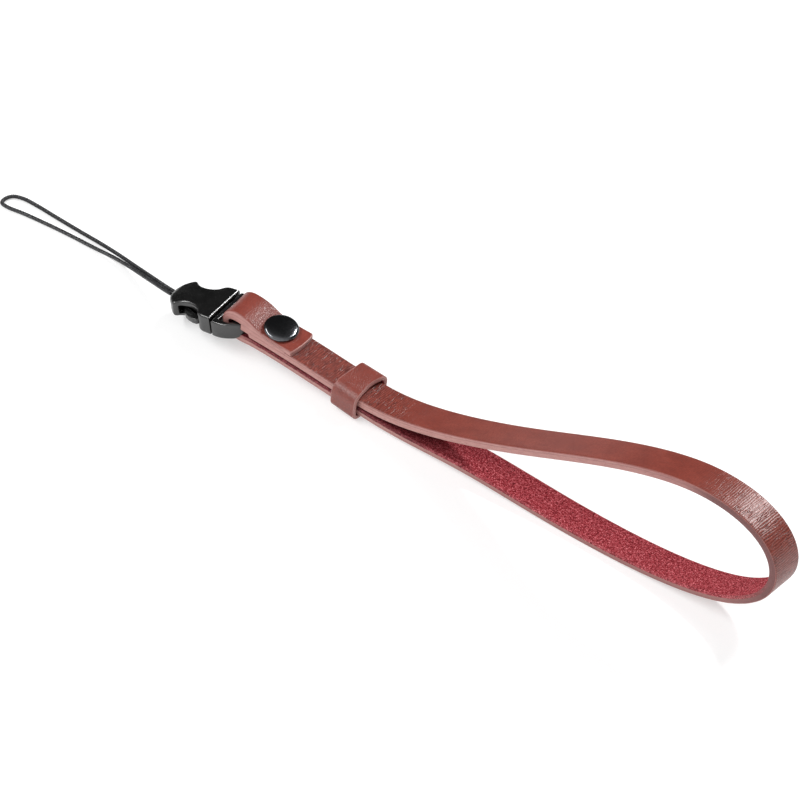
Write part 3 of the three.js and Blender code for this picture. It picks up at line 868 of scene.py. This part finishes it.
def black_nickel():
    """Black nickel plate: a dark mirror with a faint unevenness and fine rub marks."""
    material, tree, shader = new_material("black_nickel", Metallic=1.0)
    place = add_node(tree, "ShaderNodeTexCoord").outputs["Object"]
    cloud = noise(tree, place, 900.0, 3.0)
    rubs = noise(tree, place, 6000.0, 2.0)
    tree.links.new(ramp(tree, cloud, (0.35, "5c5d60"), (0.7, "6a6b6e")), shader.inputs["Base Color"])
    tree.links.new(spread(tree, rubs, 0.35, 0.7, 0.1, 0.2), shader.inputs["Roughness"])
    tree.links.new(bump(tree, cloud, 0.01), shader.inputs["Normal"])
    return material


cap_places = turned(CAP_PROFILE) @ turn_y(CAP_TILT).T + [SNAP_X, 0, CAP_AT]
post_places = turned(POST_PROFILE) + [SNAP_X, 0, 0]
snap_plate = black_nickel()
cap = make_piece("snap_dome", [stem_to_row(cap_places)], snap_plate)
post = make_piece("snap_post", [stem_to_row(post_places)], snap_plate)
for piece, node in ((cap, "snap_cap"), (post, "snap_stud")):
    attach(piece, "root")
    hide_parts(node)


# ---------------------------------------------------------------- buckle socket
# The cord's half of a small side-release buckle, moulded in black acetal: a flat hollow body with a
# waist, open at the face where the halves meet and at both sides for the latch arms. It is one
# moulding with windows right through it, so it is worked out as a level surface in a block of points.
BUCKLE_AT = np.array([-53.5, -0.7, 1.0])
BAR_SWING, BAR_DROP = 5.0, 13.0 # degrees
PLASTIC_STEP, OUTLINE_STEP = 0.14, 0.4
SOCKET_BLOCK = ((-19.4, -8.0, -3.7), (0.7, 8.0, 3.4))
SOCKET_ROUNDING, HOLLOW_ROUNDING = 0.75, 0.3
RIM_ROUNDING = 0.2              # where an opening cuts the outside
MOUTH_ROUNDING = 0.13           # round the open face
HOLLOW_LOW, HOLLOW_HIGH = -1.5, 1.15
CORD_HOLE, CORD_HOLE_WIDENING = 0.95, 1.65 # half height, and how many times wider than high
CORD_HOLE_END = -12.5           # where it opens into the hollow
FLARE_FROM, FLARE_REACH, FLARE = -17.2, 1.2, 0.25 # the hole opens out at the cord end
# Along the buckle from the open face, and half width.
SOCKET_PLAN = np.array([
    (0.0, 7.5), (-1.6, 7.5), (-3.2, 7.4), (-4.3, 6.95), (-5.0, 6.2), (-5.7, 5.35), (-6.8, 4.65),
    (-8.2, 4.2), (-9.8, 4.05), (-11.2, 4.25), (-12.4, 4.8), (-13.2, 5.45), (-13.9, 5.75),
    (-14.7, 5.4), (-15.8, 4.5), (-16.9, 3.25), (-17.8, 1.8), (-18.3, 0.7), (-18.45, 0.0),
])
# Along the buckle, and height: the cord end is rounded down.
SOCKET_SIDE = np.array([
    (0.5, 2.9), (-9.0, 2.85), (-12.5, 2.65), (-15.0, 2.3), (-16.8, 1.9), (-18.0, 1.2), (-18.7, 0.2),
    (-18.7, -0.4), (-18.1, -1.3), (-17.0, -1.9), (-15.0, -2.25), (-12.5, -2.5), (-8.0, -2.8),
    (-4.0, -3.05), (0.5, -3.2),
])
# The hollow in plan: at the waist it runs out past both sides, which leaves them open.
HOLLOW_PLAN = np.array([
    (1.0, 6.35), (-4.7, 6.35), (-5.7, 8.5), (-12.0, 8.5), (-12.7, 5.0), (-13.3, 3.2), (-13.6, 0.0),
])


def mirrored(half):
    """Closed outline from one half of it, given as places along and half widths."""
    return np.vstack([half * [1, -1], half[half[:, 1] > 0.001][::-1]])


def outline_distance(outline, across, up):
    """Signed distance to a closed outline over a grid of points, less than zero inside it.

    The distance is the least one to any side, and a place is inside where a ray from it crosses the
    sides an odd number of times.
    """
    px, py = (grid[..., None] for grid in np.meshgrid(across, up, indexing="ij"))
    (ax, ay), (bx, by) = outline.T, np.roll(outline, -1, 0).T
    ex, ey = bx - ax, by - ay
    share = np.clip(((px - ax) * ex + (py - ay) * ey) / np.maximum(ex * ex + ey * ey, 1e-12), 0, 1)
    away = np.hypot(px - ax - share * ex, py - ay - share * ey).min(-1)
    crosses = ((ay > py) != (by > py)) & (px < ax + (py - ay) * ex / np.where(ey == 0, 1, ey))
    return np.where(crosses.sum(-1) % 2 == 1, -away, away)


def both(a, b, radius):
    """What two bodies share, the edge between them rounded to a radius."""
    corner = np.hypot(np.maximum(a + radius, 0), np.maximum(b + radius, 0))
    return np.minimum(np.maximum(a, b), -radius) + corner


def either(a, b, radius):
    """Two bodies joined, with a fillet of a radius where they meet."""
    return -both(-a, -b, radius)


def level_surface(field, low, step):
    """Points and faces of the surface where a field over a block of points is zero.

    Each cell that the surface crosses gets one point, the mean of the crossings on its edges, and
    each crossed edge gets a face from the four cells round it.
    """
    cells = np.array(field.shape) - 1
    places, number = np.zeros((*cells, 3)), np.zeros(cells)

    def shifted(offset):
        return field[tuple(slice(o, o + n) for o, n in zip(offset, cells))]

    for axis in range(3):
        for du, dv in ((0, 0), (0, 1), (1, 0), (1, 1)):
            start = np.zeros(3, dtype=int)
            start[(axis + 1) % 3], start[(axis + 2) % 3] = du, dv
            a, b = shifted(start), shifted(start + np.eye(3, dtype=int)[axis])
            crossed = (a < 0) != (b < 0)
            places += crossed[..., None] * start
            places[..., axis] += np.where(crossed, a / np.where(crossed, a - b, 1), 0)
            number += crossed
    used = number > 0
    index = np.full(cells, -1)
    index[used] = np.arange(used.sum())
    points = low + step * (np.argwhere(used) + places[used] / number[used][:, None])
    faces = []
    for axis in range(3):
        u, v = np.eye(3, dtype=int)[(axis + 1) % 3], np.eye(3, dtype=int)[(axis + 2) % 3]
        a, b = np.moveaxis(field, axis, 0)[:-1], np.moveaxis(field, axis, 0)[1:]
        crossed = np.moveaxis((a < 0) != (b < 0), 0, axis)
        at = np.argwhere(crossed)
        ring = [index[tuple((at - du * u - dv * v).T)] for du, dv in ((0, 0), (1, 0), (1, 1), (0, 1))]
        quads = np.stack(ring, -1)
        leaving = field[tuple(at.T)] < 0
        faces += [quads[leaving], quads[~leaving][:, ::-1]]
    return points, np.concatenate(faces).tolist()


def block(low, high):
    """Coordinates of a block of points, a plastic step apart, each along its own axis of three."""
    x, y, z = (np.arange(a, b, PLASTIC_STEP) for a, b in zip(low, high))
    return x[:, None, None], y[None, :, None], z[None, None, :]


def plan_distance(outline, x, y):
    """Signed distance to an outline seen from above, the same at every height."""
    return outline_distance(outline, x.ravel(), y.ravel())[:, :, None]


def buckle_to_row(points):
    """Places on the buckle, hung from its bar a little low and swung aside, in the row frame."""
    return stem_to_row(points @ turn_y(-BAR_DROP).T @ turn_z(BAR_SWING).T + BUCKLE_AT)


def acetal():
    """Black moulded acetal: a fine sparked texture that glints, with slow changes of shine."""
    material, tree, shader = new_material("black_acetal", Specular_IOR_Level=0.9)
    place = add_node(tree, "ShaderNodeTexCoord").outputs["Object"]
    grain = noise(tree, place, 2600.0, 2.0)
    cloud = noise(tree, place, 350.0, 3.0)
    tree.links.new(ramp(tree, cloud, (0.35, "080808"), (0.7, "101010")), shader.inputs["Base Color"])
    tree.links.new(spread(tree, cloud, 0.35, 0.7, 0.2, 0.27), shader.inputs["Roughness"])
    tree.links.new(bump(tree, grain, 0.025), shader.inputs["Normal"])
    return material


def socket_surface():
    """The socket's form in a block of points, and its level surface.

    The outer form is the plan shared with the side view, cut off at the open face. The hollow and
    the cord's oval hole, which flares at its mouth, are taken out of it.
    """
    x, y, z = block(*SOCKET_BLOCK)
    plan = plan_distance(mirrored(smooth_line(SOCKET_PLAN, OUTLINE_STEP)), x, y)
    side_line = smooth_line(SOCKET_SIDE, OUTLINE_STEP)
    side = outline_distance(side_line, x.ravel(), z.ravel())[:, None, :]
    body = both(plan, side, SOCKET_ROUNDING)
    body = both(body, x, MOUTH_ROUNDING)
    span = np.maximum(z - HOLLOW_HIGH, HOLLOW_LOW - z)
    hollow = both(plan_distance(mirrored(HOLLOW_PLAN), x, y), span, HOLLOW_ROUNDING)
    body = both(body, -hollow, RIM_ROUNDING)
    flare = FLARE * np.clip((FLARE_FROM - x) / FLARE_REACH, 0, 1) ** 2
    hole = np.hypot(y / CORD_HOLE_WIDENING, z) - CORD_HOLE - flare
    hole = np.maximum(hole, x - CORD_HOLE_END)
    body = both(body, -hole, RIM_ROUNDING)
    return level_surface(body, np.array(SOCKET_BLOCK[0]), PLASTIC_STEP)


black_acetal = acetal()
socket_points, socket_faces = socket_surface()
socket = mesh_piece("buckle_body", buckle_to_row(socket_points), socket_faces, black_acetal)
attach(socket, "root")
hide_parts("buckle_socket")


# ---------------------------------------------------------------- buckle plug
# The strap's half of the buckle, moulded in one: a D-shaped ring whose bowed bar carries the fold,
# a crossbar behind the parting face, and two latch arms that reach into the socket.
PLUG_BLOCK = ((-11.8, -8.0, -3.7), (11.3, 8.0, 2.6))
RING_TOP, RING_BOTTOM = 2.1, -3.2 # heights at the parting face
UNDERSIDE_SLOPE = 0.03          # rise of the underside for each millimetre toward the bar
BAR_FROM, BAR_REACH = 7.0, 3.5  # where the ring starts to thin toward its bar, and over what length
BAR_DIP, BAR_LIFT = 0.6, 1.6    # how far the top comes down there, and the underside up
RING_ROUNDING, OPENING_ROUNDING, ARM_ROUNDING = 0.55, 0.35, 0.25
ARM_HEIGHT, ARM_HALF = -0.5, 0.9
ARM_FILLET = 0.2
# Along the buckle from the open face, and half width.
RING_PLAN = np.array([
    (0.4, 7.45), (1.6, 7.6), (3.2, 7.55), (4.8, 7.2), (6.2, 6.65), (7.5, 5.95), (8.7, 5.0),
    (9.7, 3.7), (10.4, 2.2), (10.7, 0.9), (10.75, 0.0),
])
# The slot for the leather.
OPENING_PLAN = np.array([
    (2.0, 5.65), (4.6, 5.75), (5.2, 5.6), (6.2, 5.0), (6.75, 3.6), (7.0, 1.8), (7.05, 0.0),
])
# One latch arm, all the way round; the other is its mirror image.
ARM_PLAN = np.array([
    (0.5, 4.3), (0.5, 5.95), (-4.3, 5.95), (-5.15, 7.0), (-6.4, 7.05), (-8.0, 6.7), (-9.4, 6.1),
    (-10.6, 5.1), (-11.2, 4.2), (-11.3, 3.5), (-10.6, 3.3), (-9.4, 3.9), (-7.5, 4.7), (-5.5, 4.7),
    (-3.0, 4.3),
])


def plug_surface():
    """Ring, opening and arms, each a plan shared with a span of heights, as one level surface.

    The ring's span eases from its full height at the parting face to the thinner bar.
    """
    x, y, z = block(*PLUG_BLOCK)
    slope = ease((x - BAR_FROM) / BAR_REACH)
    top = RING_TOP - BAR_DIP * slope
    bottom = RING_BOTTOM + UNDERSIDE_SLOPE * x + BAR_LIFT * slope
    plan = plan_distance(mirrored(smooth_line(RING_PLAN, OUTLINE_STEP)), x, y)
    ring = both(plan, np.maximum(z - top, bottom - z), RING_ROUNDING)
    ring = both(ring, -plan_distance(mirrored(OPENING_PLAN), x, y), OPENING_ROUNDING)
    arm = plan_distance(ARM_PLAN, x, y)
    arms = both(np.minimum(arm, arm[:, ::-1]), np.abs(z - ARM_HEIGHT) - ARM_HALF, ARM_ROUNDING)
    plug_form = either(ring, arms, ARM_FILLET)
    return level_surface(plug_form, np.array(PLUG_BLOCK[0]), PLASTIC_STEP)


plug_points, plug_faces = plug_surface()
plug = mesh_piece("buckle_ring", buckle_to_row(plug_points), plug_faces, black_acetal)
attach(plug, "root")
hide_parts("buckle_plug")


# ---------------------------------------------------------------- floor and light
# A plain pale floor, a firm light behind and above inside a long softer one, and a strip in front.
FLOOR_REACH, FLOOR_DROP = 8.0, 0.00005 # in metres: half its side, and how far it lies under zero


def pale_floor():
    """White acrylic, lit a little from below, so that shadows on it stay pale."""
    material, tree, shader = new_material("pale_floor", Roughness=0.7, Emission_Strength=0.5)
    shader.inputs["Base Color"].default_value = linear("c4c4c4")
    shader.inputs["Emission Color"].default_value = (1, 1, 1, 1)
    return material


def add_softbox(name, towards, distance, width, height, power, roll=0.0):
    """An area light at a distance in the given direction, facing the strap, rolled by degrees."""
    direction = unit(np.array(towards, dtype=float))
    lamp = bpy.data.lights.new(name, "AREA")
    lamp.shape, lamp.size, lamp.size_y, lamp.energy = "RECTANGLE", width, height, power
    holder = bpy.data.objects.new(name, lamp)
    level = unit(np.cross([0, 0, 1], direction))
    steep = np.cross(direction, level)
    c, s = np.cos(np.radians(roll)), np.sin(np.radians(roll))
    across, upward = c * level + s * steep, c * steep - s * level
    matrix = np.eye(4)
    matrix[:3, :3] = np.stack([across, upward, direction], -1)
    matrix[:3, 3] = direction * distance
    holder.matrix_world = matrix.T
    bpy.context.collection.objects.link(holder)


floor_mesh = bpy.data.meshes.new("floor")
floor_corners = [
    (x * FLOOR_REACH, y * FLOOR_REACH, -FLOOR_DROP) for x, y in ((-1, -1), (1, -1), (1, 1), (-1, 1))
]
floor_mesh.from_pydata(floor_corners, [], [(0, 1, 2, 3)])
floor_mesh.materials.append(pale_floor())
floor = bpy.data.objects.new("floor", floor_mesh)
bpy.context.collection.objects.link(floor)

# Distances and sizes of the lights are in metres, their powers in watts.
BEHIND = (0.147, 0.669, 0.727)
IN_FRONT = (-0.5, -0.45, 0.74)
add_softbox("key_light", BEHIND, distance=1.4, width=0.5, height=0.1, power=14)
add_softbox("strip_light", BEHIND, distance=1.45, width=0.97, height=0.16, power=4.0, roll=-55)
add_softbox("front_light", IN_FRONT, distance=1.2, width=1.15, height=0.12, power=8.5)

# The studio round it is bright in front and dim behind, as with a white card on the near side.
WHITE_CARD = unit(np.array([0.2, -0.85, 0.4]))
DIM, BRIGHT = 0.05, 0.88
world = bpy.data.worlds.new("studio")
world.use_nodes = True
sky = world.node_tree
direction = add_node(sky, "ShaderNodeTexCoord").outputs["Generated"]
facing = add_node(
    sky, "ShaderNodeVectorMath", {0: direction, 1: WHITE_CARD}, operation="DOT_PRODUCT",
)
glow = add_node(sky, "ShaderNodeMapRange", {
    "Value": facing.outputs["Value"], "From Min": -0.2, "From Max": 0.9,
    "To Min": DIM, "To Max": BRIGHT,
}, interpolation_type="SMOOTHSTEP")
sky.links.new(glow.outputs["Result"], sky.nodes["Background"].inputs["Strength"])
sky.nodes["Background"].inputs["Color"].default_value = (1, 1, 1, 1)
bpy.context.scene.world = world
bpy.context.scene.view_settings.view_transform = "Standard"
